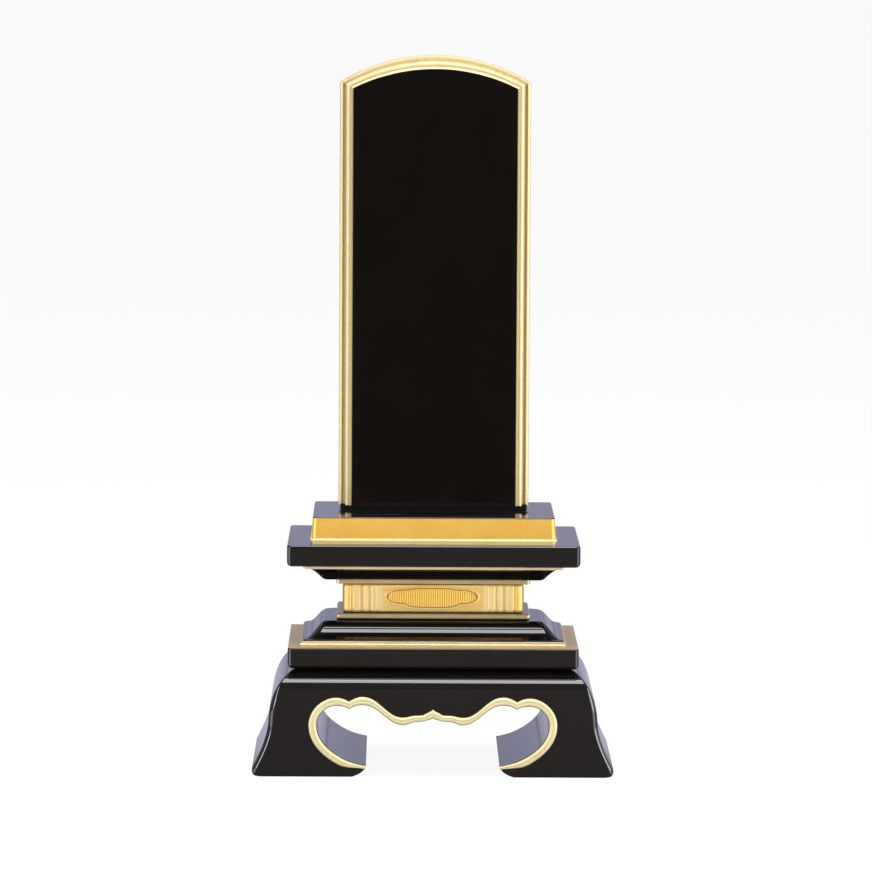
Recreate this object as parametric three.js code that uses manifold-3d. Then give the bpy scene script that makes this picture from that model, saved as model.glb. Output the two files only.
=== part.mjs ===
// Lacquered memorial tablet on a tiered stand: a black arched board with a gilt edge moulding,
// its tenon standing loose in the mortise of a plinth, over plates, ogees, a gilt neck and a leg base.
// Millimetres, +Z up, the front faces -Y. The origin is the middle of the footprint, on the floor.
import * as THREE from 'three';
import { mergeVertices } from 'three/addons/utils/BufferGeometryUtils.js';
import Module from 'manifold-3d';

const wasm = await Module();
wasm.setup();

// Fits and sampling
const fitGap = 0.3;
const curveSteps = 6;
const cornerSteps = 2;
const archSteps = 16;
const cutSpare = 1.0;

// Leg base, with an S-curved side, a rounded shoulder all round and plumb front and back faces
const base = {
  height: 28.25, halfDepth: 27.2,
  heelHalf: 47.9, heelRadius: 1.3, waistHalf: 43.4, waistHeight: 15.5,
  shoulderHalf: 35.5, shoulderHalfDepth: 21.5, plumbHeight: 20.9,
};

// Lobed arch between the feet, right half from the toe to the crown:
// across, up, arriving and leaving direction in degrees, share of the full bead width
const archKnots = {
  toe: [17.6, 2.9, 10, 10, 0.38],
  sole: [24.6, 5.4, 31, 31, 0.95],
  lobe: [30.6, 13.6, 88, 88, 1],
  brow: [25.6, 18.8, 180, 180, 1],
  cusp: [22.1, 18.0, 209, 147, 0.9],
  crest: [18.5, 19.05, 180, 180, 1],
  trough: [8.2, 13.85, 180, 180, 0.92],
  crown: [0, 15.6, 152, 208, 1.05],
};
const knotReach = 0.37;
const toeUnder = 3.7;
const bead = { width: 2.15, proud: 0.7 };

// Plates as half width and half depth
const plate = { half: [38.75, 24.4], corner: 1.1, footRound: 1.0, topRound: 0.9, lowerThick: 5.45, upperThick: 5.6 };

// Gilt margin on the lower plate: a flat ledge that sweeps up to the foot of the ogee
const bevel = { outerInset: 0.4, edge: 0.2, ledgeEnd: 1.5, ledgeRise: 0.3, coveMiddle: 0.6, coveRise: 0.6, lip: 0.35, rise: 1.35 };

// Ogees, each step as half width and half depth, and the gilt fillets between the tiers
const ogeeFoot = [34.45, 20.0];
const ogeeCorner = 0.6;
const lowerOgee = { height: 6.1, ledge: 1.75 };
const upperOgee = { height: 3.4 };
const fillet = { half: [25.75, 12.85], corner: 0.8, chamfer: 0.3, lowerThick: 1.8, upperThick: 1.3, underPlateThick: 1.2 };

// Ogee outlines as half width, half depth and share of the tier's height
const lowerOgeeLine = [
  [33.5, 18.9, 0.294], [32.2, 17.15, 0.393], [31.5, 16.55, 0.5], [30.7, 16.05, 0.648],
  [29.9, 15.45, 0.795], [29.15, 14.85, 0.91], [28.4, 14.2, 0.975], [27.4, 13.4, 1],
];
const upperOgeeLine = [
  [27.9, 14.2, 0], [29.0, 15.0, 0.06], [29.7, 15.7, 0.206], [30.8, 16.8, 0.559], [31.7, 17.7, 0.794], [33.0, 19.0, 1],
];

// Neck between the ogees: a core with four gilt facings
const neck = { half: [24.1, 11.2], height: 7.9, facing: 1.6, corner: 1.2 };

// Socket plinth on its gilt foot
const plinth = {
  half: [32.0, 19.8], height: 5.9, lean: 0.25, corner: 1.2, topRound: 0.4, footThick: 1.2, footProud: 0.3,
};

// Tablet: the board stands behind the middle of the plinth by setBack
const tablet = { half: 25.43, springHeight: 114.0, crown: 7.2, setBack: 3.0, panelHalfThick: 4.3 };
const boardFoot = { height: 1.0, inset: 0.4, halfThick: 2.6 };
const tenon = { half: [15.0, 2.7], length: 5.5 };

// Gilt border: in from the edge, out from the middle plane
const borderWidth = 3.6;
const borderSection = [
  [0, 0.9], [0.35, 1.5], [0.8, 1.75], [1.2, 1.95], [1.55, 2.35], [1.75, 2.9],
  [2.05, 3.25], [2.4, 3.3], [2.75, 3.05], [2.9, 2.8], [borderWidth, 4.1],
];

// Dowels in pairs that key the tiers, and how far each pair bites past its outer joints
const dowel = { radius: 2.0, sides: 16 };
const dowelAt = { lower: 20.0, neck: 13.0, upper: 24.0 };
const dowelBite = { base: 7.0, lowerOgee: 3.6, upperOgee: 2.4, plinth: 3.6 };

// Heights of the tier tops above the floor
const top = {};
top.base = base.height;
top.lowerPlate = top.base + plate.lowerThick;
top.lowerOgee = top.lowerPlate + lowerOgee.height;
top.lowerFillet = top.lowerOgee + fillet.lowerThick;
top.neck = top.lowerFillet + neck.height;
top.upperFillet = top.neck + fillet.upperThick;
top.upperOgee = top.upperFillet + upperOgee.height;
top.underPlate = top.upperOgee + fillet.underPlateThick;
top.upperPlate = top.underPlate + plate.upperThick;
top.plinthFoot = top.upperPlate + plinth.footThick;
top.plinth = top.plinthFoot + plinth.height;
top.boardFoot = top.plinth + boardFoot.height;

// Geometry to solid and back
function toSolid(geometry) {
  geometry.deleteAttribute('normal');
  geometry.deleteAttribute('uv');
  const merged = mergeVertices(geometry, 1e-4);
  return new wasm.Manifold(new wasm.Mesh({
    numProp: 3,
    vertProperties: new Float32Array(merged.attributes.position.array),
    triVerts: new Uint32Array(merged.index.array),
  }));
}

function toGeometry(solid) {
  const mesh = solid.getMesh();
  const geometry = new THREE.BufferGeometry();
  geometry.setAttribute('position', new THREE.BufferAttribute(new Float32Array(mesh.vertProperties), 3));
  geometry.setIndex(new THREE.BufferAttribute(new Uint32Array(mesh.triVerts), 1));
  geometry.computeVertexNormals();
  return geometry;
}

// Closed skin over rings of equal length that turn anticlockwise as seen from the last ring
function loft(rings, flatten) {
  const count = rings[0].length;
  const triangles = [];
  for (let ring = 0; ring < rings.length - 1; ring += 1) {
    for (let i = 0; i < count; i += 1) {
      const a = ring * count + i;
      const b = ring * count + (i + 1) % count;
      triangles.push(a, b, b + count, a, b + count, a + count);
    }
  }
  const last = (rings.length - 1) * count;
  for (const [a, b, c] of THREE.ShapeUtils.triangulateShape(rings[0].map(flatten), [])) {
    triangles.push(a, c, b);
  }
  for (const [a, b, c] of THREE.ShapeUtils.triangulateShape(rings.at(-1).map(flatten), [])) {
    triangles.push(last + a, last + b, last + c);
  }
  const geometry = new THREE.BufferGeometry().setFromPoints(rings.flat());
  geometry.setIndex(triangles);
  return toSolid(geometry);
}

function extruded(shape, depth) {
  return new THREE.ExtrudeGeometry(shape, { depth, bevelEnabled: false, curveSegments: curveSteps });
}

function alongX(shape, halfX) {
  const geometry = extruded(shape, 2 * halfX);
  geometry.rotateX(Math.PI / 2).rotateZ(Math.PI / 2).translate(-halfX, 0, 0);
  return toSolid(geometry);
}

function alongY(shape, nearY, farY) {
  const geometry = extruded(shape, farY - nearY);
  geometry.rotateX(Math.PI / 2).translate(0, farY, 0);
  return toSolid(geometry);
}

function alongZ(shape, bottom, height) {
  return toSolid(extruded(shape, height - bottom).translate(0, 0, bottom));
}

function block([halfX, halfY], bottom, height, y = 0) {
  const geometry = new THREE.BoxGeometry(2 * halfX, 2 * halfY, height - bottom);
  return toSolid(geometry.translate(0, y, (bottom + height) / 2));
}

function polygon(points) {
  return new THREE.Shape(points.map(([x, y]) => new THREE.Vector2(x, y)));
}

// Right half of an outline, from the middle to the middle, closed by its mirror image
function mirrored(right) {
  const left = right.filter((p) => p.x > 1e-6).reverse().map((p) => new THREE.Vector2(-p.x, p.y));
  return new THREE.Shape([...right, ...left]);
}

function roundedRectangle([halfX, halfY], radius) {
  const shape = new THREE.Shape();
  const corners = [[1, -1, -0.5], [1, 1, 0], [-1, 1, 0.5], [-1, -1, 1]];
  for (const [sideX, sideY, turn] of corners) {
    const start = turn * Math.PI;
    const [x, y] = [sideX * (halfX - radius), sideY * (halfY - radius)];
    shape.absarc(x, y, radius, start, start + Math.PI / 2, false);
  }
  return shape;
}

// A tier of rounded rectangles: each step is [half size, height, corner radius]
function tier(steps) {
  const rings = steps.map(([half, height, radius]) => {
    const points = roundedRectangle(half, radius).getPoints(cornerSteps);
    return points.map((p) => new THREE.Vector3(p.x, p.y, height));
  });
  return loft(rings, (p) => new THREE.Vector2(p.x, p.y));
}

function grown([halfX, halfY], by) {
  return [halfX + by, halfY + by];
}

// Quarter round at the foot of a tier, or at its head when read downwards from the top
function quarterRound(half, edge, radius, corner, sense) {
  return [0, 1, 2, 3].map((i) => {
    const angle = (i / 3) * (Math.PI / 2);
    const inset = radius * (1 - Math.sin(angle));
    return [grown(half, -inset), edge + sense * radius * (1 - Math.cos(angle)), Math.max(corner - inset, 0.1)];
  });
}

function peg(x, bottom, height, radius) {
  const geometry = new THREE.CylinderGeometry(radius, radius, height - bottom, dowel.sides);
  return toSolid(geometry.rotateX(Math.PI / 2).translate(x, 0, (bottom + height) / 2));
}

// Dowel pairs and the holes that they stand in
const dowels = {
  lower: { x: dowelAt.lower, bottom: top.base - dowelBite.base, height: top.lowerPlate + dowelBite.lowerOgee },
  neck: { x: dowelAt.neck, bottom: top.lowerOgee - dowelBite.lowerOgee, height: top.upperFillet + dowelBite.upperOgee },
  upper: { x: dowelAt.upper, bottom: top.upperOgee - dowelBite.upperOgee, height: top.plinthFoot + dowelBite.plinth },
};

function drilled(solid, ...pairs) {
  let result = solid;
  for (const name of pairs) {
    const { x, bottom, height } = dowels[name];
    for (const side of [-1, 1]) {
      result = result.subtract(peg(side * x, bottom - fitGap, height + fitGap, dowel.radius + fitGap));
    }
  }
  return result;
}

// Leg base
function baseElevation() {
  const { height, heelHalf, heelRadius, waistHalf, waistHeight, shoulderHalf } = base;
  const shoulder = waistHalf - shoulderHalf;
  const shoulderRise = height - waistHeight;
  const flare = heelHalf - waistHalf;
  const heelTop = 1.7 * heelRadius;
  const flareRise = waistHeight - heelTop;
  const path = new THREE.Path();
  path.moveTo(0, 0);
  path.lineTo(heelHalf - heelRadius, 0);
  path.quadraticCurveTo(heelHalf + 0.1 * heelRadius, 0, heelHalf - 0.15 * heelRadius, heelTop);
  path.bezierCurveTo(
    heelHalf - 0.52 * flare, heelTop + 0.31 * flareRise,
    waistHalf + 0.02 * flare, heelTop + 0.66 * flareRise,
    waistHalf, waistHeight,
  );
  path.bezierCurveTo(
    waistHalf - 0.05 * shoulder, waistHeight + 0.51 * shoulderRise,
    shoulderHalf + 0.54 * shoulder, waistHeight + 0.92 * shoulderRise,
    shoulderHalf, height,
  );
  path.lineTo(0, height);
  return mirrored(path.getPoints(curveSteps));
}

function baseProfile() {
  const { height, halfDepth, shoulderHalfDepth, plumbHeight } = base;
  const shoulder = halfDepth - shoulderHalfDepth;
  const rise = height - plumbHeight;
  const path = new THREE.Path();
  path.moveTo(0, 0);
  path.lineTo(halfDepth, 0);
  path.lineTo(halfDepth, plumbHeight);
  path.bezierCurveTo(
    halfDepth, plumbHeight + 0.6 * rise,
    shoulderHalfDepth + 0.72 * shoulder, plumbHeight + 0.735 * rise,
    shoulderHalfDepth, height,
  );
  path.lineTo(0, height);
  return mirrored(path.getPoints(curveSteps));
}

// Right half of the arch line, moved outwards by a share of the bead width at each knot
function archLine(offset) {
  const direction = (degrees) => new THREE.Vector2(1, 0).rotateAround(new THREE.Vector2(), degrees * Math.PI / 180);
  const knots = Object.values(archKnots).map(([x, height, arrive, leave, share]) => {
    const outwards = direction((arrive + leave) / 2 - 90);
    return { at: new THREE.Vector2(x, height).addScaledVector(outwards, offset * share), arrive, leave };
  });
  knots.at(-1).at.x = 0;
  const path = new THREE.Path().moveTo(knots[0].at.x, knots[0].at.y);
  for (let i = 1; i < knots.length; i += 1) {
    const [from, to] = [knots[i - 1], knots[i]];
    const reach = knotReach * from.at.distanceTo(to.at);
    const begin = from.at.clone().addScaledVector(direction(from.leave), reach);
    const end = to.at.clone().addScaledVector(direction(to.arrive), -reach);
    path.bezierCurveTo(begin.x, begin.y, end.x, end.y, to.at.x, to.at.y);
  }
  return path.getPoints(curveSteps);
}

function archCut() {
  const [toeX, toeHeight] = archKnots.toe;
  const under = new THREE.Path();
  under.moveTo(0, -cutSpare);
  under.lineTo(toeX + toeUnder, -cutSpare);
  under.lineTo(toeX + toeUnder, 0);
  under.quadraticCurveTo(toeX + 0.15 * toeUnder, 0.3 * toeHeight, toeX, toeHeight);
  const points = [...under.getPoints(curveSteps).slice(0, -1), ...archLine(0)];
  return alongY(mirrored(points), -base.halfDepth - cutSpare, base.halfDepth + cutSpare);
}

function legBase() {
  const body = alongY(baseElevation(), -base.halfDepth, base.halfDepth);
  const shoulders = alongX(baseProfile(), base.heelHalf + cutSpare);
  return drilled(body.intersect(shoulders).subtract(archCut()), 'lower');
}

function openingBead(side) {
  const inner = archLine(0);
  const outer = archLine(bead.width);
  const mirror = (points) => points.map((p) => new THREE.Vector2(-p.x, p.y));
  const strip = new THREE.Shape([
    ...outer, ...mirror(outer).reverse().slice(1), ...mirror(inner), ...inner.slice(0, -1).reverse(),
  ]);
  const near = side < 0 ? -base.halfDepth - bead.proud : base.halfDepth;
  return alongY(strip, near, near + bead.proud);
}

// Plates
function plateTier(bottom, thick, topRound) {
  const { half, corner, footRound } = plate;
  const head = quarterRound(half, bottom + thick, topRound, corner, -1).reverse();
  return tier([...quarterRound(half, bottom, footRound, corner, 1), ...head]);
}

function lowerPlate() {
  const { half, corner, footRound, lowerThick } = plate;
  const foot = quarterRound(half, top.base, footRound, corner, 1);
  return drilled(tier([...foot, [half, top.base + lowerThick, corner]]), 'lower');
}

function upperPlate() {
  return drilled(plateTier(top.underPlate, plate.upperThick, plate.topRound), 'upper');
}

// Gilt margin on the lower plate, four strips mitred round the foot of the ogee
function bevelStrips() {
  const outer = grown(plate.half, -bevel.outerInset);
  const foot = top.lowerPlate;
  const ramp = tier([
    [outer, foot, plate.corner],
    [outer, foot + bevel.edge, plate.corner],
    [grown(ogeeFoot, bevel.ledgeEnd), foot + bevel.ledgeRise, ogeeCorner],
    [grown(ogeeFoot, bevel.coveMiddle), foot + bevel.coveRise, ogeeCorner],
    [grown(ogeeFoot, bevel.lip), foot + bevel.rise, ogeeCorner],
    [ogeeFoot, foot + bevel.rise, ogeeCorner],
  ]);
  const frame = ramp.subtract(tier([
    [ogeeFoot, foot - cutSpare, ogeeCorner],
    [ogeeFoot, foot + bevel.rise + cutSpare, ogeeCorner],
  ]));
  const [inX, inY] = ogeeFoot;
  const [farX, farY] = outer.map((size, i) => 2 * size - ogeeFoot[i]);
  const plans = {
    front: [[-farX, -farY], [farX, -farY], [inX, -inY], [-inX, -inY]],
    back: [[farX, farY], [-farX, farY], [-inX, inY], [inX, inY]],
    right: [[inX, -inY], [farX, -farY], [farX, farY], [inX, inY]],
    left: [[-inX, inY], [-farX, farY], [-farX, -farY], [-inX, -inY]],
  };
  return Object.entries(plans).map(([side, plan]) => {
    const wedge = alongZ(polygon(plan), foot - cutSpare, foot + bevel.rise + cutSpare);
    return [`bevel_${side}`, frame.intersect(wedge)];
  });
}

// Ogees along their outlines, the lower one on an upright foot
function ogeeRings(line, foot, height) {
  return line.map(([halfX, halfY, share]) => [[halfX, halfY], foot + share * height, ogeeCorner]);
}

function lowerOgeeTier() {
  const foot = top.lowerPlate;
  return drilled(tier([
    [ogeeFoot, foot, ogeeCorner],
    [ogeeFoot, foot + lowerOgee.ledge, ogeeCorner],
    ...ogeeRings(lowerOgeeLine, foot, lowerOgee.height),
  ]), 'lower', 'neck');
}

function upperOgeeTier() {
  return drilled(tier(ogeeRings(upperOgeeLine, top.upperFillet, upperOgee.height)), 'neck', 'upper');
}

// Gilt fillets
function lowerNeckFillet() {
  const { half, corner, chamfer } = fillet;
  return drilled(tier([
    [half, top.lowerOgee, corner],
    [half, top.lowerFillet - chamfer, corner],
    [grown(half, -0.3 * chamfer), top.lowerFillet - 0.3 * chamfer, corner],
    [grown(half, -chamfer), top.lowerFillet, corner],
  ]), 'neck');
}

function upperNeckFillet() {
  const { half, corner } = fillet;
  return drilled(tier([[half, top.neck, corner], [half, top.upperFillet, corner]]), 'neck');
}

function underPlateFillet() {
  const steps = [[ogeeFoot, top.upperOgee, ogeeCorner], [ogeeFoot, top.underPlate, ogeeCorner]];
  return drilled(tier(steps), 'upper');
}

// Neck core and its facings, the corners of the front and back ones rounded
function neckPieces() {
  const { half, facing, corner } = neck;
  const [foot, head] = [top.lowerFillet, top.neck];
  const coreHalf = grown(half, -facing);
  const whole = tier([[half, foot, corner], [half, head, corner]]);
  const slab = [half[0] + cutSpare, facing / 2];
  const end = [facing / 2, coreHalf[1]];
  const endPiece = (side) => block(end, foot, head).translate([side * (coreHalf[0] + facing / 2), 0, 0]);
  const facingPiece = (side) => whole.intersect(
    block(slab, foot, head, side * (coreHalf[1] + facing / 2)),
  );
  return [
    ['neck_core', drilled(block(coreHalf, foot, head), 'neck')],
    ['neck_front_facing', facingPiece(-1)],
    ['neck_back_facing', facingPiece(1)],
    ['neck_left_facing', endPiece(-1)],
    ['neck_right_facing', endPiece(1)],
  ];
}

// Socket plinth, its faces leaning in a little, over a gilt foot
function plinthFoot() {
  const { half, lean, footProud, corner } = plinth;
  const size = grown(half, lean + footProud);
  const foot = top.upperPlate;
  return drilled(tier([
    [size, foot, corner],
    [size, top.plinthFoot - footProud, corner],
    [grown(size, -footProud), top.plinthFoot, corner],
  ]), 'upper');
}

function socketPlinth() {
  const { half, lean, topRound, corner } = plinth;
  const head = quarterRound(half, top.plinth, topRound, corner, -1).reverse();
  const body = tier([[grown(half, lean), top.plinthFoot, corner], ...head]);
  const mortise = block(grown(tenon.half, fitGap), top.plinthFoot - cutSpare, top.plinth + cutSpare, tablet.setBack);
  return drilled(body.subtract(mortise), 'upper');
}

// Outline of the tablet, inset from its edge: straight sides and a round head of one radius
function tabletOutline(inset, foot) {
  const { half, crown, springHeight } = tablet;
  const radius = (half ** 2 + crown ** 2) / (2 * crown);
  const apex = top.plinth + springHeight + crown - inset;
  const side = half - inset;
  const sweep = Math.asin(side / radius);
  const points = [new THREE.Vector2(-side, foot), new THREE.Vector2(side, foot)];
  for (let i = 0; i <= archSteps; i += 1) {
    const angle = sweep * (1 - (2 * i) / archSteps);
    points.push(new THREE.Vector2(radius * Math.sin(angle), apex - radius * (1 - Math.cos(angle))));
  }
  return points;
}

function board() {
  const { half, panelHalfThick, setBack } = tablet;
  const shape = new THREE.Shape(tabletOutline(borderWidth, top.plinth));
  const panel = alongY(shape, setBack - panelHalfThick, setBack + panelHalfThick);
  const foot = block([half - boardFoot.inset, boardFoot.halfThick], top.plinth, top.boardFoot, setBack);
  const tongue = block(tenon.half, top.plinth - tenon.length, top.boardFoot, setBack);
  return panel.add(foot).add(tongue);
}

function borderPieces() {
  const { half, setBack, panelHalfThick } = tablet;
  const foot = top.boardFoot;
  const section = [
    ...borderSection.map(([inset, out]) => [inset, out]).reverse(),
    ...borderSection.map(([inset, out]) => [inset, -out]),
  ];
  const rings = section.map(([inset, out]) => tabletOutline(inset, foot).map(
    (p) => new THREE.Vector3(p.x, setBack + out, p.y),
  ));
  const whole = loft(rings, (p) => new THREE.Vector2(p.x, p.z));
  const spare = panelHalfThick + cutSpare;
  const core = alongY(new THREE.Shape(tabletOutline(borderWidth, foot - cutSpare)), setBack - spare, setBack + spare);
  const border = whole.subtract(core);
  const corner = tabletOutline(0, foot)[2];
  const inner = tabletOutline(borderWidth, foot)[2];
  const slope = (corner.y - inner.y) / (corner.x - inner.x);
  const far = new THREE.Vector2(corner.x + cutSpare, corner.y + slope * cutSpare);
  const near = new THREE.Vector2(inner.x - cutSpare, inner.y - slope * cutSpare);
  const under = [[near.x, foot - cutSpare], [far.x, foot - cutSpare], [far.x, far.y], [near.x, near.y]];
  const flip = ([x, height]) => [-x, height];
  const cell = (points) => alongY(polygon(points), setBack - spare, setBack + spare);
  const right = cell(under);
  const left = cell(under.map(flip));
  return [
    ['left_stile_moulding', border.intersect(left)],
    ['right_stile_moulding', border.intersect(right)],
    ['arch_moulding', border.subtract(left).subtract(right)],
  ];
}

// Finishes
const finishes = {
  lacquer: { color: 0x1c1916, roughness: 0.12, metalness: 0 },
  gilt: { color: 0xdba850, roughness: 0.35, metalness: 1 },
  beech: { color: 0xc49a68, roughness: 0.7, metalness: 0 },
};

function addTo(group, finish, pieces) {
  for (const [name, solid] of pieces) {
    const mesh = new THREE.Mesh(toGeometry(solid), new THREE.MeshStandardMaterial(finishes[finish]));
    mesh.name = name;
    group.add(mesh);
  }
}

function dowelPieces() {
  const ends = [['left', -1], ['right', 1]];
  return Object.entries(dowels).flatMap(([name, { x, bottom, height }]) => ends.map(
    ([end, side]) => [`${name}_dowel_${end}`, peg(side * x, bottom, height, dowel.radius)],
  ));
}

const stand = new THREE.Group();
addTo(stand, 'lacquer', [
  ['leg_base', legBase()],
  ['lower_plate', lowerPlate()],
  ['lower_ogee', lowerOgeeTier()],
  ['upper_ogee', upperOgeeTier()],
  ['upper_plate', upperPlate()],
  ['socket_plinth', socketPlinth()],
]);
addTo(stand, 'gilt', [
  ['front_opening_bead', openingBead(-1)],
  ['back_opening_bead', openingBead(1)],
  ...bevelStrips(),
  ['lower_neck_fillet', lowerNeckFillet()],
  ...neckPieces(),
  ['upper_neck_fillet', upperNeckFillet()],
  ['under_plate_fillet', underPlateFillet()],
  ['plinth_foot', plinthFoot()],
]);
addTo(stand, 'beech', dowelPieces());

const lifting = new THREE.Group();
addTo(lifting, 'lacquer', [['tablet_board', board()]]);
addTo(lifting, 'gilt', borderPieces());

const part = new THREE.Group();
part.add(stand, lifting);

export default part;
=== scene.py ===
import math

import bpy
from mathutils import Matrix, Vector


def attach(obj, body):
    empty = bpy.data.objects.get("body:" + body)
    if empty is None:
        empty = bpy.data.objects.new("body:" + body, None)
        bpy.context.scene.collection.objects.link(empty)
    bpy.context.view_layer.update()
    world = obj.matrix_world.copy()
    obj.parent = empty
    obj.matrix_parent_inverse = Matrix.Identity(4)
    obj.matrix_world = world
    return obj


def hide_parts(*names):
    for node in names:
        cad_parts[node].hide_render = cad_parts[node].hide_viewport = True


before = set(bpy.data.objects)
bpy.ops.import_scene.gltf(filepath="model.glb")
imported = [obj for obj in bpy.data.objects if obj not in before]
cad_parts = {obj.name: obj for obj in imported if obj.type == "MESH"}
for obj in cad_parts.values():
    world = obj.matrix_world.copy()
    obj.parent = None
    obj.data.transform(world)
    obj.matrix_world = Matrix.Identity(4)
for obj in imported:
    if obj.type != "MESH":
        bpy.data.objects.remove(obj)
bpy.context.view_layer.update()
mm = 0.001
print("frame loaded:", len(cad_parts), "nodes")

# Sizes below are millimetres, in the stand's own frame: front towards -Y, feet on Z = 0.

cameraSizes = {
    "place": (-9.85, -1505.0, 233.0),
    "pitch": 5.51,  # degrees below the horizon
    "yaw": 0.397,  # degrees towards +X
    "roll": 0.32,  # degrees, with its right side up
    "lens": 233.67,
    "sensor": 36.0,
}


def addObject(name, data):
    thing = bpy.data.objects.new(name, data)
    bpy.context.scene.collection.objects.link(thing)
    return thing


def makeCamera(sizes):
    data = bpy.data.cameras.new("photoCamera")
    data.lens, data.sensor_width = sizes["lens"], sizes["sensor"]
    pitch, yaw, roll = (math.radians(sizes[key]) for key in ("pitch", "yaw", "roll"))
    ahead = Vector((math.sin(yaw) * math.cos(pitch), math.cos(yaw) * math.cos(pitch), -math.sin(pitch)))
    level = Vector((math.cos(yaw), -math.sin(yaw), 0))
    upright = level.cross(ahead)
    right = math.cos(roll) * level + math.sin(roll) * upright
    up = math.cos(roll) * upright - math.sin(roll) * level
    turn = Matrix((right, up, -ahead)).transposed().to_4x4()
    camera = addObject("photoCamera", data)
    camera.matrix_world = Matrix.Translation(Vector(sizes["place"]) * mm) @ turn
    bpy.context.scene.camera = camera


makeCamera(cameraSizes)


# A socket that takes Python's operators: each one adds its Math node
class Shade:
    def __init__(self, tree, socket):
        self.tree, self.socket = tree, socket

    def math(self, operation, *others):
        return self.tree.math(operation, self, *others)

    def __add__(self, other):
        return self.math("ADD", other)

    def __radd__(self, other):
        return self.tree.math("ADD", other, self)

    def __sub__(self, other):
        return self.math("SUBTRACT", other)

    def __rsub__(self, other):
        return self.tree.math("SUBTRACT", other, self)

    def __mul__(self, other):
        return self.math("MULTIPLY", other)

    def __rmul__(self, other):
        return self.tree.math("MULTIPLY", other, self)

    def __truediv__(self, other):
        return self.math("DIVIDE", other)


# The nodes of a material, of the world or of a Geometry Nodes group
class Tree:
    def __init__(self, tree):
        self.tree = tree
        tree.nodes.clear()

    def add(self, kind, settings=None, inputs=None, output=0):
        node = self.tree.nodes.new(kind)
        for key, value in (settings or {}).items():
            setattr(node, key, value)
        for key, value in (inputs or {}).items():
            if isinstance(value, Shade):
                self.tree.links.new(value.socket, node.inputs[key])
            else:
                node.inputs[key].default_value = value
        return Shade(self, node.outputs[output]) if len(node.outputs) else None

    def math(self, operation, *values):
        return self.add("ShaderNodeMath", {"operation": operation}, dict(enumerate(values)))

    def axis(self, name, place):
        return self.add("ShaderNodeSeparateXYZ", {}, {0: place}, name)

    def vector(self, x=0.0, y=0.0, z=0.0):
        return self.add("ShaderNodeCombineXYZ", {}, {"X": x, "Y": y, "Z": z})

    def blend(self, factor, low, high):
        return self.add("ShaderNodeMix", {"data_type": "RGBA"}, {"Factor": factor, 6: low, 7: high}, output=2)

    def noise(self, place, scale, detail, roughness=0.5):
        sizes = {"Vector": place, "Scale": scale, "Detail": detail, "Roughness": roughness}
        return self.add("ShaderNodeTexNoise", {}, sizes)

    def between(self, value, low, high, toLow=0.0, toHigh=1.0):
        limits = {"Value": value, 1: low, 2: high, 3: toLow, 4: toHigh}
        return self.add("ShaderNodeMapRange", {"interpolation_type": "SMOOTHSTEP"}, limits)

    def bump(self, height, strength, distance):
        return self.add("ShaderNodeBump", {}, {"Strength": strength, "Distance": distance, "Height": height})


def newMaterial(name):
    material = bpy.data.materials.new(name)
    material.use_nodes = True
    tree = Tree(material.node_tree)
    return material, tree, tree.add("ShaderNodeTexCoord", output="Object")


def finishMaterial(tree, inputs):
    shader = tree.add("ShaderNodeBsdfPrincipled", {}, inputs)
    tree.add("ShaderNodeOutputMaterial", {}, {"Surface": shader})


# In the looks, a noise is given by its scale and detail, and a bump by its strength and its height in metres.

# Black lacquer: polished almost to a mirror, with a faint swell and fine rubbing marks
lacquerLook = {
    "deep": (0.0042, 0.0031, 0.0024, 1), "warm": (0.0062, 0.0046, 0.0034, 1),
    "cloud": (60, 3), "rub": (900, 2), "rubShare": 0.3, "spread": (0.35, 0.65),
    "roughness": (0.035, 0.075), "swell": (0.35, 0.00002), "ior": 1.55,
}


def lacquerMaterial(look):
    material, tree, place = newMaterial("blackLacquer")
    cloud, rub = tree.noise(place, *look["cloud"]), tree.noise(place, *look["rub"])
    colour = tree.blend(cloud, look["deep"], look["warm"])
    mixed = cloud * (1 - look["rubShare"]) + rub * look["rubShare"]
    roughness = tree.between(mixed, *look["spread"], *look["roughness"])
    bump = tree.bump(cloud, *look["swell"])
    finishMaterial(tree, {"Base Color": colour, "Roughness": roughness, "Normal": bump, "IOR": look["ior"]})
    return material


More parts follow.
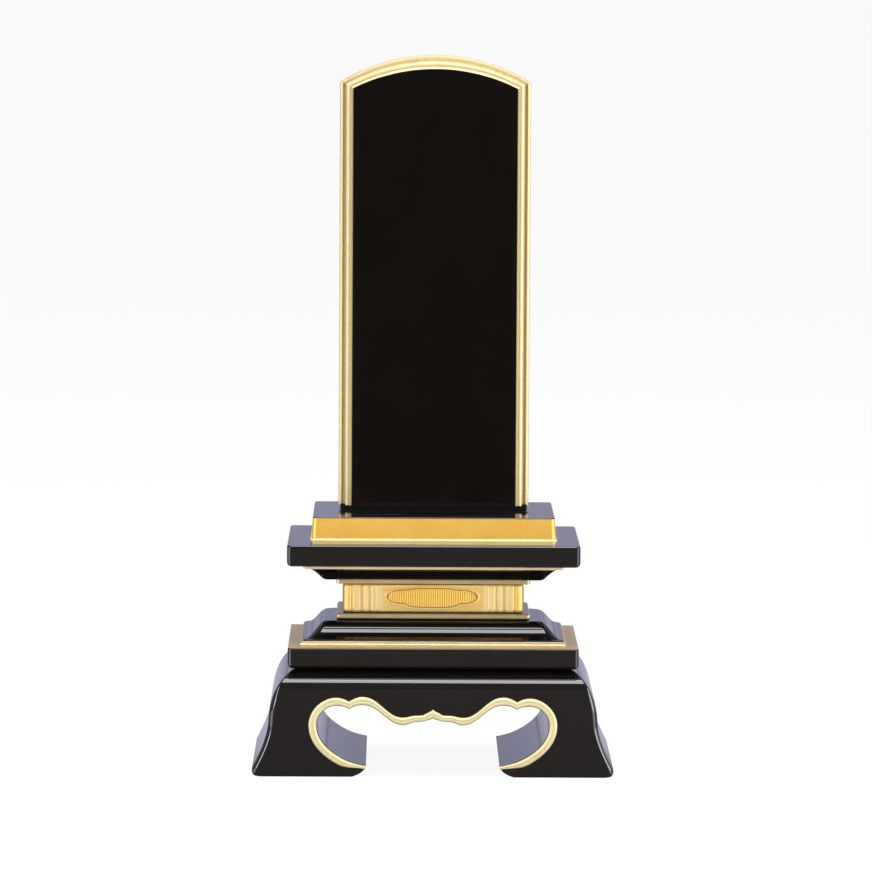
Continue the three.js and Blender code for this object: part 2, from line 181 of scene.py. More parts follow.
# Gold leaf: satin, with a fine grain and soft changes of tone, and painted shade that darkens it towards a
# dark colour in coves, grooves and recesses
giltGrain = {
    "cloud": (140, 3), "grain": (900, 2), "toneShare": 0.4, "roughShare": 0.5, "spread": (0.3, 0.7),
    "bump": (0.06, 0.00001),
}
# In each look, deep and pale give the leaf's tone; the third colour, where there is one, is its painted shade
giltLooks = {
    "borderGold": {
        "deep": (0.80, 0.69, 0.39, 1), "pale": (0.85, 0.75, 0.45, 1), "paintedShade": (0.42, 0.29, 0.085, 1),
        "metal": 0.2, "roughness": (0.48, 0.54),
    },
    "beadGold": {
        "deep": (0.73, 0.64, 0.33, 1), "pale": (0.79, 0.71, 0.39, 1), "paintedShade": (0.34, 0.26, 0.08, 1),
        "metal": 0.2, "roughness": (0.50, 0.56),
    },
    "carvedGold": {
        "deep": (0.88, 0.66, 0.27, 1), "pale": (0.93, 0.72, 0.32, 1), "paintedShade": (0.30, 0.18, 0.03, 1),
        "metal": 0.25, "roughness": (0.46, 0.52),
    },
    "fieldGold": {
        "deep": (0.86, 0.55, 0.14, 1), "pale": (0.92, 0.61, 0.18, 1), "paintedShade": (0.20, 0.11, 0.02, 1),
        "metal": 0.3, "roughness": (0.42, 0.48),
    },
    # The ribs' look paints shade into the valleys between the ribs
    "ribGold": {  # its valleys: the ribs' pitch and the middle of one rib in metres, and how they fade
        "deep": (0.82, 0.52, 0.08, 1), "pale": (0.88, 0.58, 0.11, 1), "paintedShade": (0.46, 0.27, 0.03, 1),
        "metal": 0.4, "roughness": (0.40, 0.46), "valleys": (0.0006, -0.0003), "valleyShadeFade": (0.25, 0.45),
    },
    "plinthGold": {
        "deep": (0.85, 0.49, 0.075, 1), "pale": (0.90, 0.55, 0.10, 1),
        "metal": 0.5, "roughness": (0.40, 0.46),
    },
    # A darker, greyer copy of the leaf, as painted shade: for the gilt bevels and neck fillets, which lie
    # under the tiers above
    "shadedStripGold": {
        "deep": (0.62, 0.48, 0.24, 1), "pale": (0.67, 0.53, 0.30, 1),
        "metal": 0.8, "roughness": (0.44, 0.50),
    },
}


# How much painted shade darkens the leaf: the amount stored with the mesh, or for the ribs their valleys
def paintedShadeMask(tree, place, look):
    if "valleys" not in look:
        return tree.add("ShaderNodeAttribute", {"attribute_name": "paintedShade"}, output="Fac")
    pitch, middle = look["valleys"]
    within = ((tree.axis("X", place) - middle) / pitch + 0.5).math("FRACT")
    return tree.between((within - 0.5).math("ABSOLUTE"), *look["valleyShadeFade"])


def giltMaterial(name, look, grains):
    material, tree, place = newMaterial(name)
    cloud, grain = tree.noise(place, *grains["cloud"]), tree.noise(place, *grains["grain"])
    tone, rough = (cloud * (1 - grains[key]) + grain * grains[key] for key in ("toneShare", "roughShare"))
    colour = tree.blend(tree.between(tone, *grains["spread"]), look["deep"], look["pale"])
    if "paintedShade" in look:
        colour = tree.blend(paintedShadeMask(tree, place, look), colour, look["paintedShade"])
    roughness = tree.between(rough, *grains["spread"], *look["roughness"])
    bump = tree.bump(grain, *grains["bump"])
    finishMaterial(tree, {
        "Base Color": colour, "Metallic": look["metal"], "Roughness": roughness, "Normal": bump,
    })
    return material


# Bare wood of the hidden core and dowels: straight grain
woodLook = {
    "light": (0.60, 0.41, 0.22, 1), "dark": (0.38, 0.23, 0.11, 1), "stretch": (900, 900, 40),
    "grain": (1.0, 4, 0.6), "spread": (0.35, 0.65), "roughness": (0.6, 0.2), "bump": (0.4, 0.00005),
}


def woodMaterial(look):
    material, tree, place = newMaterial("bareWood")
    stretched = tree.add("ShaderNodeMapping", {}, {"Vector": place, "Scale": look["stretch"]})
    grain = tree.noise(stretched, *look["grain"])
    colour = tree.blend(tree.between(grain, *look["spread"]), look["light"], look["dark"])
    least, more = look["roughness"]
    bump = tree.bump(grain, *look["bump"])
    finishMaterial(tree, {"Base Color": colour, "Roughness": least + more * grain, "Normal": bump})
    return material


lacquer = lacquerMaterial(lacquerLook)
gilt = {name: giltMaterial(name, look, giltGrain) for name, look in giltLooks.items()}
bareWood = woodMaterial(woodLook)
slotOf = {material: "gold_leaf" for material in gilt.values()}
slotOf.update({lacquer: "black_lacquer", bareWood: "bare_wood"})
print("materials made")


def addPiece(name, mesh, body, sharpAngle):
    mesh.polygons.foreach_set("use_smooth", [True] * len(mesh.polygons))
    mesh.set_sharp_from_angle(angle=math.radians(sharpAngle))
    piece = addObject(name, mesh)
    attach(piece, body)
    return piece


# Each point's painted shade on the gilt, from 0 to 1, is stored with the mesh
def makePiece(name, points, faces, materials, body, nodes, faceMaterials=None, sharpAngle=38, paintedShades=None):
    mesh = bpy.data.meshes.new(name)
    mesh.from_pydata([Vector(point) * mm for point in points], [], faces)
    for material in materials:
        mesh.materials.append(material)
    if faceMaterials:
        mesh.polygons.foreach_set("material_index", faceMaterials)
    if paintedShades:
        mesh.attributes.new("paintedShade", "FLOAT", "POINT").data.foreach_set("value", paintedShades)
    mesh.validate()
    piece = addPiece(name, mesh, body, sharpAngle)
    weighted = piece.modifiers.new("evenNormals", "WEIGHTED_NORMAL")
    weighted.keep_sharp, weighted.weight = True, 100
    if nodes:
        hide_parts(*nodes)


def quads(rows, count, first=0, closed=True):
    faces = []
    for row in range(rows - 1):
        start = first + row * count
        for spot in range(count if closed else count - 1):
            a, b = start + spot, start + (spot + 1) % count
            faces.append((a, b, b + count, a + count))
    return faces


def skin(rings, topCap=True):
    count = len(rings[0])
    points = [point for ring in rings for point in ring]
    faces = quads(len(rings), count)
    faces.append(tuple(reversed(range(count))))
    if topCap:
        faces.append(tuple(range(len(points) - count, len(points))))
    return points, faces


def smoothStep(share):
    return share * share * (3 - 2 * share)


# A rounded edge by its distances from the two faces that it joins
def quarterRound(radius, steps):
    angles = [math.pi / 2 * step / steps for step in range(steps + 1)]
    return [(radius * (1 - math.sin(angle)), radius * (1 - math.cos(angle))) for angle in angles]


def cornerArc(centreX, centreY, radius, start, steps):
    angles = [math.radians(start + 90 * step / steps) for step in range(steps + 1)]
    return [(centreX + radius * math.cos(angle), centreY + radius * math.sin(angle)) for angle in angles]


def tierRing(halfX, halfY, height, radius, steps=6):
    x, y = halfX - radius, halfY - radius
    arcs = [(x, -y, -90), (x, y, 0), (-x, y, 90), (-x, -y, 180)]
    return [(px, py, height) for cx, cy, start in arcs for px, py in cornerArc(cx, cy, radius, start, steps)]


def bezier(knots, steps):
    points = []
    for step in range(steps + 1):
        t = step / steps
        weights = ((1 - t) ** 3, 3 * t * (1 - t) ** 2, 3 * t * t * (1 - t), t ** 3)
        points.append(tuple(sum(w * value for w, value in zip(weights, values)) for values in zip(*knots)))
    return points


# A Bezier's four points for a curve that is drawn towards a single one
def softCorner(start, pull, end):
    start, pull, end = Vector(start), Vector(pull), Vector(end)
    return [start, start.lerp(pull, 2 / 3), end.lerp(pull, 2 / 3), end]


# Rounds the corners of a line whose points end with the radius
def eased(profile, steps=5):
    points = []
    for i, (*corner, radius) in enumerate(profile):
        here = Vector(corner)
        if not radius or i in (0, len(profile) - 1):
            points.append(here)
            continue
        before, after = (Vector(profile[i + side][:-1]) - here for side in (-1, 1))
        reach = [min(radius, side.length * 0.5) for side in (before, after)]
        start, end = here + before.normalized() * reach[0], here + after.normalized() * reach[1]
        for step in range(steps + 1):
            t = step / steps
            points.append(start * (1 - t) ** 2 + here * 2 * t * (1 - t) + end * t * t)
    return points


def smoothThrough(points, steps=6):
    line = []
    vectors = [Vector(point) for point in points]
    for i in range(len(vectors) - 1):
        p0, p1, p2 = vectors[max(i - 1, 0)], vectors[i], vectors[i + 1]
        p3 = vectors[min(i + 2, len(vectors) - 1)]
        for step in range(steps):
            t = step / steps
            line.append(0.5 * (2 * p1 + (p2 - p0) * t + (2 * p0 - 5 * p1 + 4 * p2 - p3) * t * t
                               + (3 * p1 - p0 - 3 * p2 + p3) * t ** 3))
    return line + [vectors[-1]]


# A tier of the stand from a line of half widths, half depths and heights
def tierPiece(name, line, corner, materials, node, **more):
    points, faces = skin([tierRing(*point, corner) for point in line])
    makePiece(name, points, faces, materials, "stand", [node], **more)


legBase = {
    "height": 28.25, "halfDepth": 27.2, "waistHalf": 43.4, "waistHeight": 15.5, "plumbHeight": 23.4,
    "heelHalf": 47.9, "heelRadius": 1.3, "heelShape": (0.1, 0.15, 1.7),  # bulge, lean and height in radii
    "shoulderHalf": 35.8, "shoulderHalfDepth": 21.5, "shoulderRound": 3.0, "shoulderTurn": 57,
    # what pulls the side's two curves, as shares of their width and rise
    "flarePulls": [(0.52, 0.31), (0.98, 0.66)], "shoulderPulls": [(0.05, 0.51), (0.46, 0.92)],
    "sideSteps": (6, 16, 28), "shoulderSteps": 12,
    "arris": (1.6, 0.55), "arrisFade": (20.0, 25.5), "arrisSteps": 8, "openingArris": 0.35,
}
# Lobed opening, right half: across, up, arriving and leaving direction, share of the bead's width
archKnots = [
    (17.6, 2.9, 10, 10, 0.38), (24.6, 5.4, 31, 31, 0.95), (30.6, 13.6, 88, 88, 1.0),
    (25.6, 18.8, 180, 180, 1.0), (22.1, 18.0, 209, 147, 0.9), (18.5, 19.05, 180, 180, 1.0),
    (7.4, 13.75, 176, 172, 0.94), (4.7, 14.62, 172, 180, 0.78), (2.1, 14.8, 176, 148, 0.78),
    (0.0, 15.65, 142, 218, 1.05),
]
archCurve = {"reach": 0.37, "steps": 14, "toeUnder": 3.7, "toePull": (0.15, 0.3), "toeSteps": 10}


def heading(degrees):
    return Vector((math.cos(math.radians(degrees)), math.sin(math.radians(degrees))))


def archLine(offset):
    knots = []
    for x, height, arrive, leave, share in archKnots:
        outwards = heading((arrive + leave) / 2 - 90)
        knots.append((Vector((x, height)) + outwards * offset * share, arrive, leave))
    knots[-1][0].x = 0
    line = [tuple(knots[0][0])]
    for (start, _, leave), (end, arrive, _) in zip(knots, knots[1:]):
        reach = archCurve["reach"] * (end - start).length
        curve = [start, start + heading(leave) * reach, end - heading(arrive) * reach, end]
        line += bezier(curve, archCurve["steps"])[1:]
    return line


# The right half of a line, which ends in the middle, and its mirror image
def bothHalves(right):
    right = [Vector(point) for point in right]
    return right + [Vector((-point.x, point.y)) for point in reversed(right[:-1])]


def openingLine():
    toeX, toeZ = archKnots[0][:2]
    under, (pullX, pullZ) = archCurve["toeUnder"], archCurve["toePull"]
    toe = softCorner((toeX + under, 0), (toeX + pullX * under, pullZ * toeZ), (toeX, toeZ))
    return bothHalves(bezier(toe, archCurve["toeSteps"])[:-1] + archLine(0))


def movedOut(line, offset):
    moved = []
    for i, point in enumerate(line):
        ahead = line[min(i + 1, len(line) - 1)] - line[max(i - 1, 0)]
        outwards = Vector((ahead.y, -ahead.x)).normalized()
        if i in (0, len(line) - 1):
            outwards = Vector((math.copysign(1, point.x), 0))
        moved.append(point + outwards * offset)
    return moved


def sideProfile(sizes):
    heel, waist, shoulder = sizes["heelHalf"], sizes["waistHalf"], sizes["shoulderHalf"]
    radius, (bulge, lean, tall) = sizes["heelRadius"], sizes["heelShape"]
    heelTop, middle, height = tall * radius, sizes["waistHeight"], sizes["height"]
    up = (heel - lean * radius, heelTop)
    flare, inset, rise, climb = heel - waist, waist - shoulder, middle - heelTop, height - middle
    lower = [(heel - out * flare, heelTop + share * rise) for out, share in sizes["flarePulls"]]
    upper = [(waist - out * inset, middle + share * climb) for out, share in sizes["shoulderPulls"]]
    curves = [
        softCorner((heel - radius, 0), (heel + bulge * radius, 0), up),
        [up, *lower, (waist, middle)],
        [(waist, middle), *upper, (shoulder, height)],
    ]
    heelLine, flareLine, topLine = (bezier(*curve) for curve in zip(curves, sizes["sideSteps"]))
    return heelLine[:-1] + flareLine[:-1] + topLine


def shoulderLine(sizes):
    plumb, depth, radius = sizes["plumbHeight"], sizes["halfDepth"], sizes["shoulderRound"]
    steps = sizes["shoulderSteps"]
    angles = [math.radians(sizes["shoulderTurn"] * step / steps) for step in range(steps + 1)]
    arc = [(depth - radius * (1 - math.cos(a)), plumb + radius * math.sin(a)) for a in angles]
    return arc + [(sizes["shoulderHalfDepth"], sizes["height"])]


def depthAt(height, sizes):
    line = shoulderLine(sizes)
    for (y0, z0), (y1, z1) in zip(line, line[1:]):
        if z0 < height <= z1 + 1e-9:
            return y0 + (y1 - y0) * (height - z0) / (z1 - z0)
    return line[0][0]


def arrisAt(height, sizes):
    (wide, narrow), (low, high) = sizes["arris"], sizes["arrisFade"]
    return wide + (narrow - wide) * smoothStep(min(1, max(0, (height - low) / (high - low))))


# The base's outline with a ring at every step of the shoulder's round, and the place of the lowest of these
def baseProfile(sizes):
    profile = sideProfile(sizes)
    for _, level in shoulderLine(sizes)[:-1]:
        i = next(i for i, (_, z) in enumerate(profile) if z > level)
        (x0, z0), (x1, z1) = profile[i - 1:i + 1]
        profile.insert(i, (x0 + (x1 - x0) * (level - z0) / (z1 - z0), level))
    return profile, next(i for i, (_, z) in enumerate(profile) if abs(z - sizes["plumbHeight"]) < 1e-9)


# The opening's wall from front to back, with a small round at both ends
def openingRows(sizes):
    line, depth = openingLine(), sizes["halfDepth"]
    stages = [(offset, depth - back) for offset, back in quarterRound(sizes["openingArris"], 6)]
    stages += [(offset, -y) for offset, y in reversed(stages)]
    return [[(point.x, -y, point.y) for point in movedOut(line, offset)] for offset, y in stages]


def makeLegBase(sizes):
    profile, join = baseProfile(sizes)
    steps = sizes["arrisSteps"]
    rings = [tierRing(x, depthAt(z, sizes), z, arrisAt(z, sizes), steps) for x, z in profile]
    count, half = len(rings[0]), 2 * (steps + 1)
    points = [point for ring in rings for point in ring]
    # the plumb front and back are one face each, round the opening
    plumb = {row * count + spot for row in range(join) for spot in (half - 1, count - 1)}
    faces = [face for face in quads(len(rings), count) if face[0] not in plumb]
    faces.append(tuple(range(len(points) - count, len(points))))

    rows = openingRows(sizes)
    first, width = len(points), len(rows[0])
    points += [point for row in rows for point in row]
    faces += quads(len(rows), width, first, closed=False)
    frontRow, backRow = range(first, first + width), range(len(points) - width, len(points))
    lefts, rights = ([row * count + spot for row in range(join + 1)] for spot in (count - 1, 0))
    faces.append((*rights, *reversed(lefts), *reversed(frontRow)))
    lefts, rights = ([row * count + spot for row in range(join + 1)] for spot in (half, half - 1))
    faces.append((*lefts, *reversed(rights), *backRow))
    rightEdge = [first + row * width for row in range(len(rows))]
    leftEdge = [spot + width - 1 for spot in rightEdge]
    faces.append((*rightEdge, *reversed(range(half))))
    faces.append((*reversed(leftEdge), *reversed(range(half, count))))
    makePiece("lacquered_leg_base", points, faces, [lacquer], "stand", ["leg_base"])


makeLegBase(legBase)

# Gilt bead round the opening: two rolls with a groove between them, thinning towards the toes
openingBead = {
    "width": 2.25, "margin": 0.12, "proud": 0.62, "fullness": 1.15, "sunk": (0.05, 0.3), "steps": 14,
    "groove": (0.24, 0.52, 0.13),  # its depth, place and half width, as shares
    # painted shade on the bead, darkest in the groove and at both edges
    "shade": (0.4, 0.12, 0.07),  # how dark and how wide it is in the groove, and how wide at the edges
}


def makeOpeningBead(name, node, side, sizes):
    margin, spread = sizes["margin"], sizes["width"] - sizes["margin"]
    deep, middle, narrow = sizes["groove"]
    dark, wide, edge = sizes["shade"]
    lines, heights, paintedShades = [], [], []
    for step in range(sizes["steps"] + 1):
        share = step / sizes["steps"]
        lines.append(bothHalves(archLine(margin + share * spread)))
        dip = deep * math.exp(-((share - middle) / narrow) ** 2)
        heights.append(math.sin(math.pi * share) ** 0.5 - dip)
        # painted shade: in the groove, and towards both edges
        groove = dark * math.exp(-((share - middle) / wide) ** 2)
        paintedShades.append(max(groove, 1 - min(share, 1 - share) / edge))
    low, back = (legBase["halfDepth"] - sunk for sunk in sizes["sunk"])
    rings = []
    for across in zip(*lines):
        rise = sizes["proud"] * min(1, (across[-1] - across[0]).length / spread * sizes["fullness"])
        ring = [(point.x, side * (low + rise * height), point.y) for point, height in zip(across, heights)]
        ring += [(point.x, side * back, point.y) for point in (across[-1], across[0])]
        rings.append(ring[::-side])
    points, faces = skin(rings)
    makePiece(name, points, faces, [gilt["beadGold"]], "stand", [node],
              sharpAngle=60, paintedShades=(paintedShades + [1, 1])[::-side] * len(rings))


for name, side in (("front", -1), ("back", 1)):
    makeOpeningBead(f"{name}_gilt_bead", f"{name}_opening_bead", side, openingBead)
print("leg base made")

lowerPlate = {
    "half": (38.45, 24.4), "foot": 28.25, "top": 33.7, "corner": 1.15, "footRound": 1.25, "topRound": 0.3,
}
plateCorner = {"share": 0.6, "least": 0.3}  # how the upright corners tighten with the rounds


def makePlate(name, node, sizes):
    (x, y), corner = sizes["half"], sizes["corner"]
    line = [(away, sizes["foot"] + up) for away, up in quarterRound(sizes["footRound"], 8)]
    line += [(away, sizes["top"] - down) for away, down in quarterRound(sizes["topRound"], 8)[::-1]]
    share, least = plateCorner["share"], plateCorner["least"]
    rings = [tierRing(x - away, y - away, z, max(corner - share * away, least)) for away, z in line]
    points, faces = skin(rings)
    makePiece(name, points, faces, [lacquer], "stand", [node])


makePlate("lower_lacquered_plate", "lower_plate", lowerPlate)

giltBevel = {
    "foot": (34.45, 20.0, 33.7),
    # out from the ogee's foot, and up from the plate
    "cove": [(3.9, 0.2), (1.6, 0.28), (1.1, 0.36), (0.78, 0.5), (0.56, 0.72), (0.43, 1.0), (0.36, 1.3)],
    "lip": (0.3, 1.38),
}


def makeBevel(turn, sizes):
    x, y, foot = sizes["foot"]
    alongX, sign = turn in ("front", "back"), -1 if turn in ("front", "left") else 1
    half, away = (x, y) if alongX else (y, x)
    cove, lip = sizes["cove"], sizes["lip"]
    line = [(0.0, 0.0), (cove[0][0], 0.0), *smoothThrough(cove, 4), lip, (0.0, lip[1])]
    rings = []
    for end in (-1, 1):
        ring = [(end * (half + out), sign * (away + out), foot + up) for out, up in line]
        rings.append(ring if alongX else [(across, along, z) for along, across, z in ring])
    if alongX == (sign > 0):
        rings = [ring[::-1] for ring in rings]
    points, faces = skin(rings)
    makePiece(f"gilt_bevel_{turn}", points, faces, [gilt["shadedStripGold"]], "stand", [f"bevel_{turn}"],
              sharpAngle=50)


for turn in ("front", "back", "left", "right"):
    makeBevel(turn, giltBevel)

lowerOgee = {
    "foot": (34.45, 20.0, 33.7), "land": 35.43, "corner": 1.9, "ease": 0.3,
    "slope": [
        (33.8, 19.0, 35.46), (33.1, 18.1, 35.8), (32.4, 17.25, 36.3), (31.75, 16.62, 36.9),
        (31.1, 16.1, 37.65), (30.45, 15.62, 38.4), (29.8, 15.0, 39.05), (29.0, 14.2, 39.6),
        (28.0, 13.4, 39.8),
    ],
}


def makeLowerOgee(sizes):
    x, y, foot = sizes["foot"]
    head = eased([(x, y, foot, 0), (x, y, sizes["land"], sizes["ease"]), (*sizes["slope"][0], 0)])
    line = head[:-1] + smoothThrough(sizes["slope"])
    tierPiece("lower_lacquered_ogee", line, sizes["corner"], [lacquer], "lower_ogee", sharpAngle=50)


makeLowerOgee(lowerOgee)
print("lower tiers made")

# Fillets under and over the neck: inset from their half sizes, height and, for the upper one, the radius
neckFillets = {
    "half": (25.75, 12.85), "corner": 0.8,
    "lower": [
        (0.35, 39.8), (0.3, 40.22), (0.12, 40.3), (0.02, 40.55), (0, 40.85), (0.04, 41.15), (0.14, 41.4),
        (0.35, 41.6),
    ],
    "upper": [(0.4, 49.5, 0), (0, 49.62, 0.1), (0, 50.8, 0.15), (0.5, 50.8, 0)],
}


def makeNeckFillets(sizes):
    (x, y), corner, gold = sizes["half"], sizes["corner"], gilt["shadedStripGold"]
    line = [(x - inset, y - inset, z) for inset, z in sizes["lower"]]
    around = len(tierRing(*line[0], corner))
    # its lowest step and its top are lacquered
    kinds = [1] * around + [0] * (around * (len(line) - 2) + 1) + [1]
    tierPiece("lower_gilt_fillet", line, corner, [gold, lacquer], "lower_neck_fillet", faceMaterials=kinds)
    line = eased([(x - inset, y - inset, z, radius) for inset, z, radius in sizes["upper"]])
    tierPiece("upper_gilt_fillet", line, corner, [gold], "upper_neck_fillet")


makeNeckFillets(neckFillets)

neckSizes = {
    "half": (24.1, 11.2), "foot": 41.75, "top": 49.25, "facing": 1.6, "least": 0.2, "edge": 0.8,
    # grooves by their two edges from the middle and their depth; past the last one a roll turns the corner
    "grooves": [(14.7, 15.12, 0.12), (16.18, 17.54, 0.16), (18.07, 19.75, 0.18), (21.24, 22.06, 0.26)],
    "groovePower": 0.7, "roll": (22.06, 1.3), "field": 13.2, "frontMesh": (420, 72),
    "endReeds": (0.4, 0.85), "endMesh": (160, 40),  # the ends' reeding by its shift and depth
}
# Lobed recess in the front and back of the neck, filled with fine upright ribs: two overlapping
# rounds, each as half width, half height, lift and how square it is
cartouche = {
    "centre": (-0.3, 45.6), "wide": (12.1, 1.95, 0.3, 6.0), "tall": (8.0, 2.6, 0.0, 5.0),
    "depth": 0.45, "wall": 0.4, "rim": (0.2, 0.25, 0.45, 0.2),  # the rim's height, place, half width and foot
    "ribPitch": 0.6, "ribRadius": 0.3, "ribProud": 0.26, "ribInset": 0.35, "ribGap": 0.18,
    "ribLeast": 0.1, "ribStock": 2.0, "ribSides": 16, "ribSharp": 40,
}
outlineSearch = [0.1 * step for step in range(-9, 10)]
# Painted light on the neck's leaf. Painted shade: under the top edge, in the grooves, at the corners and at
# the recess's wall. The reeded ends take the paler gold, which also paints highlights along the long edges
# and on the recess's rim, but not in the middle of its top.
neckPaintedLight = {
    "topShade": 0.25, "grooveShade": 0.35, "cornerShade": (0.9, 1.2), "wallShade": (0.15, 0.35),
    "fieldMargin": 0.1, "edgeHighlight": (0.3, 0.7), "rimHighlight": 0.42, "rimHighlightTips": 10.5,
}


def cartoucheReach(across, sense, sizes):
    reach = 0.0
    for halfX, halfZ, lift, power in (sizes["wide"], sizes["tall"]):
        share = abs(across) / halfX
        if share < 1:
            reach = max(reach, halfZ * (1 - share ** power) ** 0.5 + sense * lift)
    return reach


# How far a point is from the recess's outline, and whether it is inside
def fromOutline(x, z, sizes):
    across, up, half = x - sizes["centre"][0], z - sizes["centre"][1], sizes["wide"][0]
    sense = 1 if up > 0 else -1
    steps = [step for step in outlineSearch if abs(across + step) <= half]
    gaps = [math.hypot(step, abs(up) - cartoucheReach(across + step, sense, sizes)) for step in steps]
    return min(gaps, default=math.inf), abs(across) < half and abs(up) < cartoucheReach(across, sense, sizes)


def cartoucheDepth(x, z, sizes):
    distance, inside = fromOutline(x, z, sizes)
    if inside:
        return sizes["depth"] * smoothStep(min(1, distance / sizes["wall"]))
    height, middle, half, foot = sizes["rim"]
    return -height * smoothStep(max(0, 1 - abs(distance - middle) / half)) * min(1, distance / foot)


def reedDepth(x, sizes):
    away = abs(x)
    for inner, outer, deep in sizes["grooves"]:
        if inner < away < outer:
            return deep * math.sin(math.pi * (away - inner) / (outer - inner)) ** sizes["groovePower"]
    start, deep = sizes["roll"]
    share = (away - start) / (sizes["half"][0] - start)
    return deep * (1 - math.sqrt(max(0, 1 - share * share))) if share > 0 else 0.0


def edgeDepth(z, sizes):
    edge = sizes["edge"]
    share = 1 - min(edge, z - sizes["foot"], sizes["top"] - z) / edge
    return edge * (1 - math.sqrt(max(0, 1 - share * share)))


# Painted shade on the neck's leaf at a point, from 0 to 1
def neckPaintedShadeAt(x, z, sizes, leaf):
    away, (deepest, fade) = abs(x), leaf["cornerShade"]
    shades = [0, 1 - (sizes["top"] - z) / leaf["topShade"], deepest - fade * (sizes["half"][0] - away)]
    for inner, outer, _ in sizes["grooves"]:
        if inner < away < outer:
            shades.append(leaf["grooveShade"] * math.sin(math.pi * (away - inner) / (outer - inner)))
    distance, inside = fromOutline(x, z, cartouche)
    if inside:
        middle, half = leaf["wallShade"]
        shades.append(1 - abs(distance - middle) / half)
    return min(max(shades), 1)


# Whether a face takes the paler gold: on the reeded ends, and as painted highlights along the long edges and
# on the rim
def paleLeafAndHighlightAt(x, z, sizes, leaf):
    away, across, up = abs(x), x - cartouche["centre"][0], z - cartouche["centre"][1]
    if away > sizes["field"] + leaf["fieldMargin"]:
        return away < sizes["grooves"][-1][0]
    low, high = leaf["edgeHighlight"]
    if low < min(sizes["top"] - z, z - sizes["foot"]) < high:
        return True
    distance, inside = fromOutline(x, z, cartouche)
    return distance < leaf["rimHighlight"] and not inside and (up < 0 or abs(across) > leaf["rimHighlightTips"])


# Rows of points over a facing, closer together near its top and foot
def facingPoints(halfWidth, front, depthOf, columnsAndRows, sizes, endsRound=False):
    columns, rows = columnsAndRows
    grid = []
    for row in range(rows + 1):
        share = row / rows
        bend = 0.5 - 0.5 * math.cos(math.pi * share)
        z = sizes["foot"] + (sizes["top"] - sizes["foot"]) * (0.5 * share + 0.5 * bend)
        reach = halfWidth - (edgeDepth(z, sizes) if endsRound else 0)
        line = [reach * (2 * column / columns - 1) for column in range(columns + 1)]
        grid.append([(x, -(front - depthOf(x, z)), z) for x in line])
    return grid


def closedFacing(grid, back):
    rows, columns = len(grid), len(grid[0])
    points = [point for line in grid for point in line]
    faces = quads(rows, columns, closed=False)
    rim = list(range(columns))
    rim += [row * columns + columns - 1 for row in range(1, rows)]
    rim += [(rows - 1) * columns + column for column in range(columns - 2, -1, -1)]
    rim += [row * columns for row in range(rows - 2, 0, -1)]
    first = len(points)
    points += [(points[i][0], -back, points[i][2]) for i in rim]
    for spot, start in enumerate(rim):
        after = (spot + 1) % len(rim)
        faces.append((rim[after], start, first + spot, first + after))
    faces.append(tuple(range(first + len(rim) - 1, first - 1, -1)))
    return points, faces


def turned(points, quarter):
    cos, sin = ((1, 0), (0, 1), (-1, 0), (0, -1))[quarter]
    return [(cos * x - sin * y, sin * x + cos * y, z) for x, y, z in points]


def makeLongFacings(sizes):
    (half, front), facing, field = sizes["half"], sizes["facing"], sizes["field"]

    def depthOf(x, z):
        depth = reedDepth(x, sizes) + edgeDepth(z, sizes)
        if abs(x) < field:
            depth += cartoucheDepth(x, z, cartouche)
        return min(depth, facing - sizes["least"])

    grid = facingPoints(half, front, depthOf, sizes["frontMesh"], sizes, endsRound=True)
    points, faces = closedFacing(grid, front - facing)
    # painted shade at each point, and the paler gold with its painted highlights on chosen faces
    paintedShades = [neckPaintedShadeAt(x, z, sizes, neckPaintedLight) for line in grid for x, _, z in line]
    paintedShades += [0.0] * (len(points) - len(paintedShades))
    middles = [sum((Vector(points[i]) for i in face), Vector()) / len(face) for face in faces]
    kinds = [int(not paleLeafAndHighlightAt(middle.x, middle.z, sizes, neckPaintedLight)) for middle in middles]
    golds = [gilt["carvedGold"], gilt["fieldGold"]]
    for side, quarter in (("front", 0), ("back", 2)):
        makePiece(f"neck_carved_{side}", turned(points, quarter), faces, golds, "stand",
                  [f"neck_{side}_facing"], kinds, sharpAngle=70, paintedShades=paintedShades)


# The end facings stand between the long ones
def makeEndFacings(sizes):
    (half, front), facing = sizes["half"], sizes["facing"]
    reach, (short, share) = front - facing, sizes["endReeds"]
    shift = half - reach - short

    def depthOf(y, z):
        return min(edgeDepth(z, sizes) + reedDepth(abs(y) + shift, sizes) * share, facing - sizes["least"])

    points, faces = closedFacing(facingPoints(reach, half, depthOf, sizes["endMesh"], sizes), half - facing)
    for side, quarter in (("right", 1), ("left", 3)):
        makePiece(f"neck_carved_{side}", turned(points, quarter), faces, [gilt["carvedGold"]], "stand",
                  [f"neck_{side}_facing"], sharpAngle=70)


makeLongFacings(neckSizes)
makeEndFacings(neckSizes)
print("neck made")


